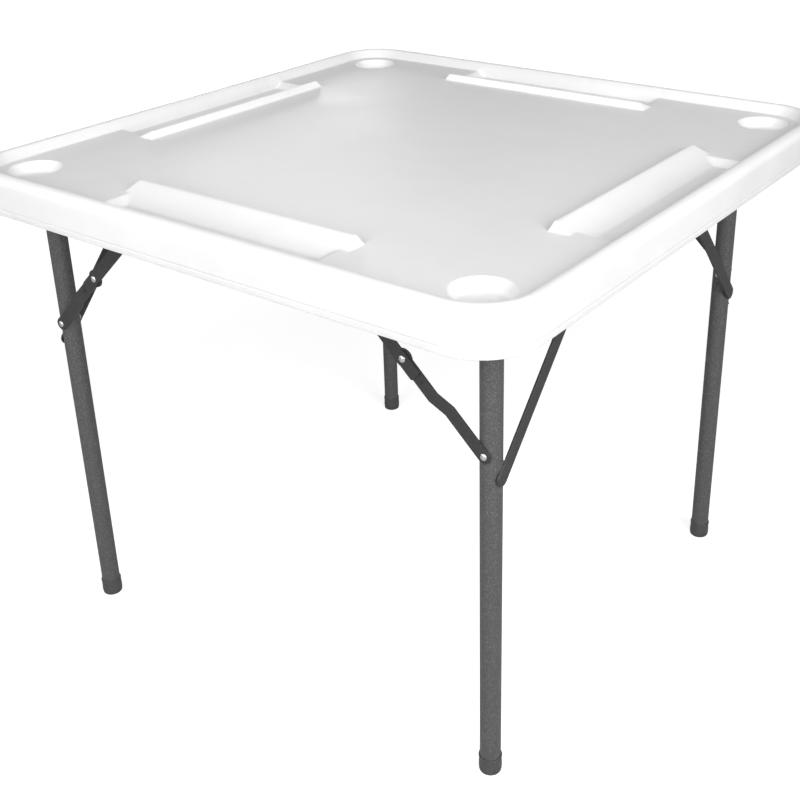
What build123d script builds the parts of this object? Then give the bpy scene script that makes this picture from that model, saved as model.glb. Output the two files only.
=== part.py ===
from build123d import *
from math import atan2, cos, hypot, sin
import os

# Folding card table: a hollow moulded square top with a raised rim, four cup
# wells and four tile racks, on two leg frames that fold flat under it.
# The floor is Z = 0 and the middle of the table is the origin.

# Tabletop
table_height = 737.0
top_side = 914.0
corner_radius = 82.0
skirt_depth = 62.0
skirt_width = 34.0
skirt_lean = 6.0
shoulder_drop = 14.0
rim_crest_inset = 16.0
rim_width = 28.0
rim_outer_round = 12.0
rim_inner_round = 7.0
rim_foot_round = 4.0
surface_drop = 14.0
deck_thickness = 20.0
shell_wall = 3.0
seam_height = 10.0
seam_width = 1.4
seam_depth = 0.8

# Cup wells
cup_mouth_diameter = 74.0
cup_floor_diameter = 64.0
cup_depth = 16.0
cup_inset = 79.0
cup_mouth_round = 2.0
cup_floor_round = 4.0

# Tile racks
rack_length = 370.0
crest_inset = 104.0
crest_width = 4.0
ridge_height = 11.0
ridge_back_run = 4.0
ridge_end_run = 8.0
crest_round = 1.5
trough_length = 360.0
trough_depth = 9.0
trough_floor_width = 36.0
trough_end_run = 14.0

# Dimples that tie the underside to the playing surface
kiss_edge_inset = 152.5
kiss_count = 8
kiss_mouth_diameter = 20.0
kiss_tip_diameter = 9.0

# Leg frames
leg_diameter = 28.0
tube_wall = 1.5
pivot_drop = 16.5
nest_step = 2.5
nest_gap = 18.0
inner_pivot_inset = 102.0
outer_pivot_inset = 97.0
inner_leg_inset = 132.0
crossbar_overhang = 20.0
plug_flange = 2.0
plug_depth = 14.0
cap_wall = 1.5
cap_floor = 4.0
cap_height = 26.0
cap_round = 2.5

# Struts from each leg to its crossbar
strut_width = 20.0
strut_thickness = 3.0
strut_drop = 226.0
strut_run = 199.0

# Folding braces
arm_width = 18.0
arm_thickness = 2.4
arm_head_radius = 12.5
arm_rivet_drop = 194.0
hanger_reach = 206.0
hanger_step = 0.5
joggle_offset = 8.2
joggle_place_share = 0.47
joggle_length = 24.0
link_tail = 27.0
link_tail_round = 3.0
dimple_place = 36.0
dimple_radius = 3.0
dimple_height = 1.2

# Brackets and hangers, pressed from one gauge of sheet
sheet = 2.3
bracket_width = 24.0
bracket_flange = 20.0
bracket_inset = 80.0
hanger_length = 40.0
hanger_lap = 17.0
hanger_ear_radius = 9.0

# Rivets and screws
rivet_diameter = 5.0
rivet_head_diameter = 9.5
rivet_head_height = 2.2
rivet_tail_diameter = 8.5
rivet_tail_height = 1.3
head_round_share = 0.8
screw_diameter = 4.0
screw_head_diameter = 7.6
screw_head_height = 2.0
screw_reach = 9.0
pilot_extra = 1.0
screw_spread = 26.0
boss_margin = 4.0

# Clearances
run_gap = 0.3
pin_gap = 0.05
weld_gap = 0.1
overrun = 5.0
pick_margin = 0.01

# Levels and half sizes that follow
half_side = top_side / 2
skirt_side = top_side - 2 * skirt_lean
kiss_pitch = (top_side - 2 * kiss_edge_inset) / (kiss_count - 1)
skirt_radius = corner_radius - skirt_lean
skirt_z = table_height - skirt_depth
surface_z = table_height - surface_drop
shoulder_z = table_height - shoulder_drop
under_z = surface_z - deck_thickness
void_z = under_z + shell_wall
void_height = deck_thickness - 2 * shell_wall
tube_radius = leg_diameter / 2
cup_place = half_side - cup_inset
kiss_depth = deck_thickness - shell_wall
seam_lean = skirt_lean * (1 - seam_height / (skirt_depth - shoulder_drop))
trough_edge = rim_width + trough_floor_width
rack_slope = (crest_inset - trough_edge) / (ridge_height + trough_depth)
slope_inset = crest_inset - rack_slope * ridge_height
ridge_inset = crest_inset + crest_width + ridge_back_run
bracket_radius = tube_radius + run_gap
bracket_reach = bracket_radius + sheet + bracket_flange

# The two frames: the inner one folds first and lies between the outer legs
inner_pivot_z = under_z - pivot_drop
inner_leg_y = half_side - inner_leg_inset
outer_leg_y = inner_leg_y + leg_diameter + nest_gap
inner_pivot_x = half_side - inner_pivot_inset
outer_pivot_x = half_side - outer_pivot_inset
outer_pivot_z = inner_pivot_z - nest_step
frames = {
    "inner": {"side": 1, "x": inner_pivot_x, "z": inner_pivot_z, "leg_y": inner_leg_y},
    "outer": {"side": -1, "x": -outer_pivot_x, "z": outer_pivot_z, "leg_y": outer_leg_y},
}
corners = {
    "near": ("inner", -1),
    "right": ("inner", 1),
    "left": ("outer", -1),
    "far": ("outer", 1),
}

# Layers of a brace, counted outward from the middle of its leg
arm_low = tube_radius + run_gap
arm_high = arm_low + joggle_offset
link_low = arm_high + arm_thickness + run_gap
link_top = link_low + arm_thickness
ear_low = link_low - run_gap - sheet
hanger_screw_y = ear_low - hanger_lap / 2 + sheet / 2


def brace_line(frame):
    # Leg rivet, hanger pivot and knee: straight when the legs stand, and folded
    # back along one line when they lie under the top
    leg_point = (frame["x"], frame["z"] - arm_rivet_drop)
    hanger_point = (frame["x"] - frame["side"] * hanger_reach, frame["z"] - hanger_step)
    folded_point = (frame["x"] - frame["side"] * arm_rivet_drop, frame["z"])
    open_span = hypot(leg_point[0] - hanger_point[0], leg_point[1] - hanger_point[1])
    folded_span = hypot(folded_point[0] - hanger_point[0], folded_point[1] - hanger_point[1])
    arm_length = (open_span + folded_span) / 2
    link_length = (open_span - folded_span) / 2
    angle = atan2(leg_point[1] - hanger_point[1], leg_point[0] - hanger_point[0])
    knee = (hanger_point[0] + link_length * cos(angle), hanger_point[1] + link_length * sin(angle))
    return leg_point, hanger_point, knee, arm_length, link_length, angle


def face_plane(point, frame, hand, angle, layer):
    # Looks outward from the leg, with its x axis along the brace
    return Plane(
        origin=(point[0], hand * (frame["leg_y"] + layer), point[1]),
        x_dir=(cos(angle), 0, sin(angle)),
        z_dir=(0, hand, 0),
    )


# Places of the screws that hold the brackets and hangers, on the underside
bracket_screw_x = bracket_radius + sheet + bracket_flange / 2
screw_places = []
for frame_name, hand in corners.values():
    frame = frames[frame_name]
    bracket_y = hand * (frame["leg_y"] - bracket_inset)
    hanger_x = frame["x"] - frame["side"] * hanger_reach
    hanger_y = hand * (frame["leg_y"] + hanger_screw_y)
    screw_places.append((frame["x"] - bracket_screw_x, bracket_y))
    screw_places.append((frame["x"] + bracket_screw_x, bracket_y))
    screw_places.append((hanger_x - screw_spread / 2, hanger_y))
    screw_places.append((hanger_x + screw_spread / 2, hanger_y))
boss_diameter = screw_diameter + 2 * boss_margin

# Hollow inside the moulded top
with BuildPart() as hollow:
    with BuildSketch(Plane.XY.offset(skirt_z + shell_wall)):
        RectangleRounded(
            skirt_side - 2 * shell_wall, skirt_side - 2 * shell_wall, skirt_radius - shell_wall
        )
    with BuildSketch(Plane.XY.offset(shoulder_z)):
        RectangleRounded(
            top_side - 2 * shell_wall, top_side - 2 * shell_wall, corner_radius - shell_wall
        )
    loft(ruled=True)
    extrude(hollow.faces().sort_by(Axis.Z)[-1], amount=shoulder_drop - shell_wall)
    channel_top = hollow.faces().sort_by(Axis.Z)[-1]
    fillet(channel_top.outer_wire().edges(), radius=rim_outer_round - shell_wall)
    with BuildSketch(Plane.XY.offset(skirt_z)):
        RectangleRounded(
            top_side - 2 * (skirt_width - shell_wall),
            top_side - 2 * (skirt_width - shell_wall),
            corner_radius - skirt_width + shell_wall,
        )
    extrude(amount=void_z - skirt_z, mode=Mode.SUBTRACT)
    with BuildSketch(Plane.XY.offset(surface_z - shell_wall)):
        RectangleRounded(
            top_side - 2 * (rim_width + shell_wall),
            top_side - 2 * (rim_width + shell_wall),
            corner_radius - rim_width - shell_wall,
        )
    with BuildSketch(Plane.XY.offset(table_height - shell_wall)):
        RectangleRounded(
            top_side - 2 * (rim_crest_inset + shell_wall),
            top_side - 2 * (rim_crest_inset + shell_wall),
            corner_radius - rim_crest_inset - shell_wall,
        )
    loft(ruled=True, mode=Mode.SUBTRACT)
    with Locations((0, 0, void_z)):
        with GridLocations(2 * cup_place, 2 * cup_place, 2, 2):
            Cylinder(
                cup_mouth_diameter / 2 + shell_wall,
                void_height,
                align=(Align.CENTER, Align.CENTER, Align.MIN),
                mode=Mode.SUBTRACT,
            )
        with GridLocations(kiss_pitch, kiss_pitch, kiss_count, kiss_count):
            Cone(
                kiss_mouth_diameter / 2 + shell_wall,
                kiss_tip_diameter / 2 + shell_wall,
                void_height,
                align=(Align.CENTER, Align.CENTER, Align.MIN),
                mode=Mode.SUBTRACT,
            )
        with Locations(*screw_places):
            Cylinder(
                boss_diameter / 2,
                void_height,
                align=(Align.CENTER, Align.CENTER, Align.MIN),
                mode=Mode.SUBTRACT,
            )
    for quarter in range(4):
        trough_floor = Plane.XY.rotated((0, 0, 90 * quarter)).offset(surface_z - trough_depth - shell_wall)
        with BuildSketch(trough_floor):
            with Locations((0, -half_side + (rim_width + slope_inset) / 2)):
                Rectangle(trough_length + 2 * shell_wall, slope_inset - rim_width + 2 * shell_wall)
        extrude(amount=trough_depth + 2 * shell_wall, mode=Mode.SUBTRACT)

# Tabletop, one hollow moulding
with BuildPart() as tabletop:
    with BuildSketch(Plane.XY.offset(skirt_z)):
        RectangleRounded(skirt_side, skirt_side, skirt_radius)
    with BuildSketch(Plane.XY.offset(shoulder_z)):
        RectangleRounded(top_side, top_side, corner_radius)
    loft(ruled=True)
    extrude(tabletop.faces().sort_by(Axis.Z)[-1], amount=shoulder_drop)
    with BuildSketch(Plane.XY.offset(surface_z)):
        RectangleRounded(
            top_side - 2 * rim_width, top_side - 2 * rim_width, corner_radius - rim_width
        )
    with BuildSketch(Plane.XY.offset(table_height)):
        RectangleRounded(
            top_side - 2 * rim_crest_inset,
            top_side - 2 * rim_crest_inset,
            corner_radius - rim_crest_inset,
        )
    loft(ruled=True, mode=Mode.SUBTRACT)
    rim_top = tabletop.faces().sort_by(Axis.Z)[-1]
    rim_outside = rim_top.outer_wire().edges()
    rim_inside = rim_top.inner_wires()[0].edges()
    fillet(rim_outside, radius=rim_outer_round)
    fillet(rim_inside, radius=rim_inner_round)
    surface = tabletop.faces().filter_by_position(Axis.Z, surface_z - pick_margin, surface_z + pick_margin)
    fillet(surface[0].outer_wire().edges(), radius=rim_foot_round)
    with BuildSketch(Plane.XY.offset(skirt_z)):
        RectangleRounded(
            top_side - 2 * skirt_width, top_side - 2 * skirt_width, corner_radius - skirt_width
        )
    extrude(amount=under_z - skirt_z, mode=Mode.SUBTRACT)
    # Parting line round the skirt
    with BuildSketch(Plane.XY.offset(skirt_z + seam_height)):
        RectangleRounded(top_side + overrun, top_side + overrun, corner_radius + overrun / 2)
        RectangleRounded(
            top_side - 2 * (seam_lean + seam_depth),
            top_side - 2 * (seam_lean + seam_depth),
            corner_radius - seam_lean - seam_depth,
            mode=Mode.SUBTRACT,
        )
    extrude(amount=seam_width, mode=Mode.SUBTRACT)
    # Tile racks: a ridge and the trough before it, on each side
    for quarter in range(4):
        side_plane = Plane.XY.rotated((0, 0, 90 * quarter))
        with BuildSketch(side_plane.offset(surface_z)) as ridge_foot:
            with Locations((0, -half_side + (slope_inset + ridge_inset) / 2)):
                Rectangle(rack_length + 2 * ridge_end_run, ridge_inset - slope_inset)
        with BuildSketch(side_plane.offset(surface_z + ridge_height)) as ridge_crest:
            with Locations((0, -half_side + crest_inset + crest_width / 2)):
                Rectangle(rack_length, crest_width)
        loft([ridge_foot.sketch, ridge_crest.sketch])
        with BuildSketch(side_plane.offset(surface_z)) as trough_mouth:
            with Locations((0, -half_side + (rim_width + slope_inset) / 2)):
                Rectangle(trough_length, slope_inset - rim_width)
        with BuildSketch(side_plane.offset(surface_z - trough_depth)) as trough_base:
            with Locations((0, -half_side + (rim_width + trough_edge) / 2)):
                Rectangle(trough_length - 2 * trough_end_run, trough_floor_width)
        loft([trough_base.sketch, trough_mouth.sketch], mode=Mode.SUBTRACT)
    crests = tabletop.faces().filter_by_position(
        Axis.Z, surface_z + ridge_height - pick_margin, surface_z + ridge_height + pick_margin
    )
    fillet(crests.edges(), radius=crest_round)
    # Cup wells
    with Locations((0, 0, surface_z - cup_depth)):
        with GridLocations(2 * cup_place, 2 * cup_place, 2, 2):
            Cone(
                cup_floor_diameter / 2,
                cup_mouth_diameter / 2,
                cup_depth,
                align=(Align.CENTER, Align.CENTER, Align.MIN),
                mode=Mode.SUBTRACT,
            )
    round_edges = tabletop.edges().filter_by(GeomType.CIRCLE)
    cup_mouths = round_edges.filter_by(lambda e: abs(e.radius - cup_mouth_diameter / 2) < pick_margin)
    cup_floors = round_edges.filter_by(lambda e: abs(e.radius - cup_floor_diameter / 2) < pick_margin)
    fillet(cup_mouths, radius=cup_mouth_round)
    fillet(cup_floors, radius=cup_floor_round)
    # Dimples and pilot holes in the underside
    with Locations((0, 0, under_z)):
        with GridLocations(kiss_pitch, kiss_pitch, kiss_count, kiss_count):
            Cone(
                kiss_mouth_diameter / 2,
                kiss_tip_diameter / 2,
                kiss_depth,
                align=(Align.CENTER, Align.CENTER, Align.MIN),
                mode=Mode.SUBTRACT,
            )
        with Locations(*screw_places):
            Cylinder(
                screw_diameter / 2 + pin_gap,
                screw_reach + pilot_extra,
                align=(Align.CENTER, Align.CENTER, Align.MIN),
                mode=Mode.SUBTRACT,
            )
    add(hollow.part, mode=Mode.SUBTRACT)
tabletop.part.label = "tabletop"

# Pan-head screws that hold the brackets and hangers to the underside
with BuildPart() as mounting_screws:
    for place in screw_places:
        with BuildSketch(Plane.XZ.offset(-place[1])):
            with BuildLine():
                Polyline(
                    (place[0], under_z + screw_reach),
                    (place[0] + screw_diameter / 2, under_z + screw_reach - screw_diameter / 2),
                    (place[0] + screw_diameter / 2, under_z - sheet),
                    (place[0] + screw_head_diameter / 2, under_z - sheet),
                    (place[0] + screw_head_diameter / 2, under_z - sheet - screw_head_height / 2),
                    (place[0] + screw_head_diameter / 4, under_z - sheet - screw_head_height),
                    (place[0], under_z - sheet - screw_head_height),
                    close=True,
                )
            make_face()
        revolve(axis=Axis((place[0], place[1], 0), (0, 0, 1)))
mounting_screws.part.label = "mounting_screws"

finished = [tabletop, mounting_screws]

for frame_name, frame in frames.items():
    # Crossbar, on the pivot axis of its frame
    bar_length = 2 * (frame["leg_y"] + crossbar_overhang)
    with BuildPart() as crossbar:
        with BuildSketch(Plane.XZ.offset(-bar_length / 2)):
            with Locations((frame["x"], frame["z"])):
                Circle(tube_radius)
                Circle(tube_radius - tube_wall, mode=Mode.SUBTRACT)
        extrude(amount=bar_length)
    crossbar.part.label = f"crossbar_{frame_name}"

    # Plastic plugs in the two ends of the crossbar
    with BuildPart() as plugs:
        for hand in (-1, 1):
            end = Plane(
                origin=(frame["x"], hand * bar_length / 2, frame["z"]),
                x_dir=(hand, 0, 0),
                z_dir=(0, hand, 0),
            )
            with BuildSketch(end):
                Circle(tube_radius)
            extrude(amount=plug_flange)
            with BuildSketch(end):
                Circle(tube_radius - tube_wall - weld_gap)
            extrude(amount=-plug_depth)
    plugs.part.label = f"crossbar_plugs_{frame_name}"

    # Rivets through the legs of this frame, that hold the brace arms
    leg_point = brace_line(frame)[0]
    with BuildPart() as leg_rivets:
        for hand in (-1, 1):
            inner_face = face_plane(leg_point, frame, hand, 0, -tube_radius)
            with BuildSketch(inner_face):
                Circle(rivet_diameter / 2)
            extrude(amount=leg_diameter)
            with BuildSketch(inner_face):
                Circle(rivet_head_diameter / 2)
            extrude(amount=-rivet_head_height)
            inner_head = leg_rivets.edges().filter_by(GeomType.CIRCLE).filter_by_position(
                Axis.Y,
                hand * (frame["leg_y"] - tube_radius - rivet_head_height) - pick_margin,
                hand * (frame["leg_y"] - tube_radius - rivet_head_height) + pick_margin,
            )
            fillet(inner_head, radius=head_round_share * rivet_head_height)
    leg_rivets.part.label = f"leg_rivets_{frame_name}"
    finished += [crossbar, plugs, leg_rivets]

for corner, (frame_name, hand) in corners.items():
    frame = frames[frame_name]
    side = frame["side"]
    leg_point, hanger_point, knee, arm_length, link_length, angle = brace_line(frame)
    leg_place = (frame["x"], hand * frame["leg_y"])

    # Leg tube, coped to the crossbar
    with BuildPart() as leg:
        with BuildSketch(Plane.XY.offset(cap_floor + weld_gap)):
            with Locations(leg_place):
                Circle(tube_radius)
                Circle(tube_radius - tube_wall, mode=Mode.SUBTRACT)
        extrude(amount=frame["z"] - cap_floor - weld_gap)
        with BuildSketch(face_plane((frame["x"], frame["z"]), frame, hand, 0, -tube_radius)):
            Circle(tube_radius + weld_gap)
        extrude(amount=leg_diameter, mode=Mode.SUBTRACT)
        with BuildSketch(face_plane(leg_point, frame, hand, 0, -tube_radius)):
            Circle(rivet_diameter / 2 + pin_gap)
        extrude(amount=leg_diameter, mode=Mode.SUBTRACT)
    leg.part.label = f"leg_{corner}"

    # Foot cap, a slip-on cup
    with BuildPart() as foot_cap:
        with BuildSketch(Plane.XY):
            with Locations(leg_place):
                Circle(tube_radius + weld_gap + cap_wall)
        extrude(amount=cap_height)
        fillet(foot_cap.edges().group_by(Axis.Z)[0], radius=cap_round)
        with BuildSketch(Plane.XY.offset(cap_floor)):
            with Locations(leg_place):
                Circle(tube_radius + weld_gap)
        extrude(amount=cap_height, mode=Mode.SUBTRACT)
        fillet(foot_cap.edges().group_by(Axis.Z)[-1].sort_by(SortBy.RADIUS)[-1], radius=cap_wall / 2)
    foot_cap.part.label = f"foot_cap_{corner}"

    # Strut, welded to the outer faces of the leg and the crossbar
    strut_length = hypot(strut_run, strut_drop)
    strut_plane = Plane(
        origin=(frame["x"] + side * (tube_radius + weld_gap), hand * frame["leg_y"], frame["z"] - strut_drop),
        x_dir=(0, -hand * strut_run, strut_drop),
        z_dir=(side, 0, 0),
    )
    with BuildPart() as strut:
        with BuildSketch(strut_plane):
            with Locations((strut_length / 2, 0)):
                SlotCenterToCenter(strut_length, strut_width)
        extrude(amount=strut_thickness)
    strut.part.label = f"strut_{corner}"

    # Saddle bracket, in which the crossbar turns
    bracket_y = hand * (frame["leg_y"] - bracket_inset)
    with BuildPart() as bracket:
        with BuildSketch(Plane.XZ.offset(-bracket_y)):
            with Locations((frame["x"], frame["z"])):
                Circle(bracket_radius + sheet)
            with Locations((frame["x"], (frame["z"] + under_z) / 2)):
                Rectangle(2 * (bracket_radius + sheet), under_z - frame["z"])
            with Locations((frame["x"], under_z - sheet / 2)):
                Rectangle(2 * bracket_reach, sheet)
            with Locations((frame["x"], under_z + bracket_radius)):
                Rectangle(2 * (bracket_radius + sheet), 2 * bracket_radius, mode=Mode.SUBTRACT)
            with Locations((frame["x"], frame["z"])):
                Circle(bracket_radius, mode=Mode.SUBTRACT)
            with Locations((frame["x"], (frame["z"] + under_z) / 2)):
                Rectangle(2 * bracket_radius, under_z - frame["z"], mode=Mode.SUBTRACT)
        extrude(amount=bracket_width / 2, both=True)
        with BuildSketch(Plane.XY.offset(under_z - sheet)):
            with Locations(
                (frame["x"] - bracket_screw_x, bracket_y), (frame["x"] + bracket_screw_x, bracket_y)
            ):
                Circle(screw_diameter / 2 + pin_gap)
        extrude(amount=sheet, mode=Mode.SUBTRACT)
    bracket.part.label = f"pivot_bracket_{corner}"

    # Hanger, an angle whose ear carries the brace link
    with BuildPart() as hanger:
        with BuildSketch(face_plane(hanger_point, frame, hand, 0, ear_low)):
            Circle(hanger_ear_radius)
        extrude(amount=sheet)
        with BuildSketch(Plane.XZ.offset(-hand * (frame["leg_y"] + ear_low))):
            with BuildLine():
                Polyline(
                    (hanger_point[0] - hanger_ear_radius, hanger_point[1]),
                    (hanger_point[0] + hanger_ear_radius, hanger_point[1]),
                    (hanger_point[0] + hanger_length / 2, under_z),
                    (hanger_point[0] - hanger_length / 2, under_z),
                    close=True,
                )
            make_face()
        extrude(amount=-hand * sheet)
        with BuildSketch(Plane.XY.offset(under_z - sheet)):
            with Locations((hanger_point[0], hand * (frame["leg_y"] + ear_low + sheet - hanger_lap / 2))):
                Rectangle(hanger_length, hanger_lap)
        extrude(amount=sheet)
        with BuildSketch(face_plane(hanger_point, frame, hand, 0, ear_low)):
            Circle(rivet_diameter / 2 + pin_gap)
        extrude(amount=sheet, mode=Mode.SUBTRACT)
        hanger_y = hand * (frame["leg_y"] + hanger_screw_y)
        with BuildSketch(Plane.XY.offset(under_z - sheet)):
            with Locations(
                (hanger_point[0] - screw_spread / 2, hanger_y), (hanger_point[0] + screw_spread / 2, hanger_y)
            ):
                Circle(screw_diameter / 2 + pin_gap)
        extrude(amount=sheet, mode=Mode.SUBTRACT)
    hanger.part.label = f"brace_hanger_{corner}"

    # Brace link, the upper strip, which runs past the knee
    with BuildPart() as link:
        with BuildSketch(face_plane(hanger_point, frame, hand, angle, link_low)) as link_outline:
            Circle(arm_width / 2)
            with Locations(((link_length + link_tail) / 2, 0)):
                Rectangle(link_length + link_tail, arm_width)
            fillet(link_outline.vertices().group_by(Axis.X)[-1], radius=link_tail_round)
        extrude(amount=arm_thickness)
        with BuildSketch(face_plane(hanger_point, frame, hand, angle, link_low)):
            with Locations((0, 0), (link_length, 0)):
                Circle(rivet_diameter / 2 + pin_gap)
        extrude(amount=arm_thickness, mode=Mode.SUBTRACT)
    link.part.label = f"brace_link_{corner}"

    # Brace arm, the lower strip, stepped in towards the leg
    step_start = joggle_place_share * arm_length - joggle_length / 2
    step_end = joggle_place_share * arm_length + joggle_length / 2
    arm_side = Plane(
        origin=(knee[0], hand * frame["leg_y"], knee[1]),
        x_dir=(cos(angle), 0, sin(angle)),
        z_dir=(-hand * sin(angle), 0, hand * cos(angle)),
    )
    with BuildPart() as arm:
        with BuildSketch(arm_side):
            with BuildLine():
                Polyline(
                    (-arm_head_radius, arm_high),
                    (step_start, arm_high),
                    (step_end, arm_low),
                    (arm_length + arm_width / 2, arm_low),
                    (arm_length + arm_width / 2, arm_low + arm_thickness),
                    (step_end + arm_thickness / 4, arm_low + arm_thickness),
                    (step_start + arm_thickness / 4, arm_high + arm_thickness),
                    (-arm_head_radius, arm_high + arm_thickness),
                    close=True,
                )
            make_face()
        extrude(amount=arm_head_radius, both=True)
        with BuildSketch(face_plane(knee, frame, hand, angle, arm_low)):
            Circle(arm_head_radius)
            with Locations((arm_length / 2, 0)):
                Rectangle(arm_length, arm_width)
            with Locations((arm_length, 0)):
                Circle(arm_width / 2)
            with Locations((0, 0), (arm_length, 0)):
                Circle(rivet_diameter / 2 + pin_gap, mode=Mode.SUBTRACT)
        extrude(amount=joggle_offset + arm_thickness, mode=Mode.INTERSECT)
        with BuildSketch(face_plane(knee, frame, hand, angle, arm_high)):
            with Locations((dimple_place, 0)):
                Circle(dimple_radius)
        extrude(amount=-dimple_height)
        dimple_edge = arm.edges().filter_by(GeomType.CIRCLE).filter_by_position(
            Axis.Y,
            hand * (frame["leg_y"] + arm_high - dimple_height) - pick_margin,
            hand * (frame["leg_y"] + arm_high - dimple_height) + pick_margin,
        )
        fillet(dimple_edge, radius=head_round_share * dimple_height)
        with BuildSketch(face_plane(knee, frame, hand, angle, arm_high + arm_thickness)):
            with Locations((dimple_place, 0)):
                Circle(dimple_radius - arm_thickness / 4)
        extrude(amount=-dimple_height, mode=Mode.SUBTRACT)
    arm.part.label = f"brace_arm_{corner}"

    # Knee rivet, fixed in the link and turning in the arm
    with BuildPart() as knee_rivet:
        with BuildSketch(face_plane(knee, frame, hand, 0, link_top)):
            Circle(rivet_head_diameter / 2)
        extrude(amount=rivet_head_height)
        fillet(knee_rivet.edges().sort_by(Axis.Y)[-1 if hand > 0 else 0], radius=head_round_share * rivet_head_height)
        with BuildSketch(face_plane(knee, frame, hand, 0, arm_high - run_gap)):
            Circle(rivet_diameter / 2)
        extrude(amount=link_top - arm_high + run_gap)
        with BuildSketch(face_plane(knee, frame, hand, 0, arm_high - run_gap)):
            Circle(rivet_tail_diameter / 2)
        extrude(amount=-rivet_tail_height)
    knee_rivet.part.label = f"knee_rivet_{corner}"

    # Outer head of the leg rivet, on the end of the arm
    with BuildPart() as arm_rivet:
        with BuildSketch(face_plane(leg_point, frame, hand, 0, arm_low + arm_thickness)):
            Circle(rivet_head_diameter / 2)
        extrude(amount=rivet_head_height)
        fillet(arm_rivet.edges().sort_by(Axis.Y)[-1 if hand > 0 else 0], radius=head_round_share * rivet_head_height)
        with BuildSketch(face_plane(leg_point, frame, hand, 0, arm_low)):
            Circle(rivet_diameter / 2)
        extrude(amount=arm_thickness)
    arm_rivet.part.label = f"arm_rivet_{corner}"

    finished += [leg, foot_cap, strut, bracket, hanger, link, arm, knee_rivet, arm_rivet]

# Hanger rivets, fixed in the ears, on which the links turn
with BuildPart() as hanger_rivets:
    for frame_name, hand in corners.values():
        frame = frames[frame_name]
        hanger_point = brace_line(frame)[1]
        outer_head = face_plane(hanger_point, frame, hand, 0, link_top + run_gap)
        with BuildSketch(face_plane(hanger_point, frame, hand, 0, ear_low)):
            Circle(rivet_diameter / 2)
        extrude(amount=link_top + run_gap - ear_low)
        with BuildSketch(outer_head):
            Circle(rivet_head_diameter / 2)
        extrude(amount=rivet_head_height)
        head_y = hand * (frame["leg_y"] + link_top + run_gap + rivet_head_height)
        head_rim = hanger_rivets.edges().filter_by_position(Axis.Y, head_y - pick_margin, head_y + pick_margin)
        fillet(head_rim.filter_by(GeomType.CIRCLE), radius=head_round_share * rivet_head_height)
        with BuildSketch(face_plane(hanger_point, frame, hand, 0, ear_low)):
            Circle(rivet_tail_diameter / 2)
        extrude(amount=-rivet_tail_height)
hanger_rivets.part.label = "hanger_rivets"
finished.append(hanger_rivets)

os.makedirs("parts", exist_ok=True)
for piece in finished:
    export_step(piece.part, f"parts/{piece.part.label}.step")
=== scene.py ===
from math import atan2, cos, hypot, inf, pi, radians, sin, tan

import bmesh
import bpy
from mathutils import Matrix, Vector


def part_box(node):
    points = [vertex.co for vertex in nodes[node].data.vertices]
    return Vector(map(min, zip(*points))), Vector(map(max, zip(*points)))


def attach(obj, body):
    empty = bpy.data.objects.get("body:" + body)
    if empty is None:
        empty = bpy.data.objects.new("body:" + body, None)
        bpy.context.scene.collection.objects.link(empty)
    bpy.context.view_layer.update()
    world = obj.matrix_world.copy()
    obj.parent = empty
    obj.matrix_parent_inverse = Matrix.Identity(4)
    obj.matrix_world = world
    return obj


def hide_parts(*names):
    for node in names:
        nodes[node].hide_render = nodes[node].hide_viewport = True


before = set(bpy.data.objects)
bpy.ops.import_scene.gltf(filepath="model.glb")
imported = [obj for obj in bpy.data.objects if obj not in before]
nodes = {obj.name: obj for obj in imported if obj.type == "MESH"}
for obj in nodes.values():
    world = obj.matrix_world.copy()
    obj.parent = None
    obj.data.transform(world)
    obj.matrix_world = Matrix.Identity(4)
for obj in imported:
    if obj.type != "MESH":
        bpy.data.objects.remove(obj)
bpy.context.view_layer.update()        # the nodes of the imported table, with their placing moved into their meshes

mm = 0.001
samePoint = 0.00002        # points nearer than this, in metres, become one
corners = {"near": ("inner", -1), "right": ("inner", 1), "left": ("outer", -1), "far": ("outer", 1)}


# looks of the finishes; a relief is (pattern scale, depth in metres, strength)
plasticLook = {
    # the darker shade's clouds are partly painted reflection of the surroundings, partly random tone
    "colour": (0.885, 0.885, 0.885), "shade": (0.835, 0.835, 0.835), "gloss": (0.36, 0.50), "shine": 0.22,
    "cloudScale": 5.5, "fleckScale": 260.0, "pebbles": (620.0, 0.00012, 0.5), "waves": (24.0, 0.0012, 0.22),
}
tubeLook = {
    "flakes": ((0.070, 0.070, 0.071), (0.160, 0.161, 0.163)), "gloss": (0.38, 0.48), "shine": 0.4,
    "dimples": (600.0, 0.0003, 0.28), "waves": (150.0, 0.0004, 0.14),
}
stripShadedLook = {        # smoother and darker than the tubes' coat: partly a darker paint, partly painted shade for strips that face away from the light
    "flakes": ((0.028, 0.028, 0.029), (0.055, 0.055, 0.056)), "gloss": (0.34, 0.42), "shine": 0.45,
    "dimples": (600.0, 0.0003, 0.1), "waves": (150.0, 0.0004, 0.05),
}
hammertoneScales = {"flakes": 1100.0, "patches": 420.0}
zincLook = {
    "colour": (0.78, 0.78, 0.77), "shade": (0.62, 0.62, 0.61), "gloss": (0.2, 0.38),
    "cloudScale": 700.0, "relief": (1400.0, 0.00005, 0.4),
}
capLook = {
    "colour": (0.066, 0.066, 0.068), "shade": (0.048, 0.048, 0.050), "gloss": (0.42, 0.6),
    "cloudScale": 260.0, "relief": (900.0, 0.0001, 0.4),
}


def newMaterial(name):
    material = bpy.data.materials.new(name)
    material.use_nodes = True
    tree = material.node_tree
    tree.nodes.clear()
    output = tree.nodes.new("ShaderNodeOutputMaterial")
    shader = tree.nodes.new("ShaderNodeBsdfPrincipled")
    tree.links.new(shader.outputs["BSDF"], output.inputs["Surface"])
    coords = tree.nodes.new("ShaderNodeTexCoord")
    return material, tree, shader, coords.outputs["Object"]


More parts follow.
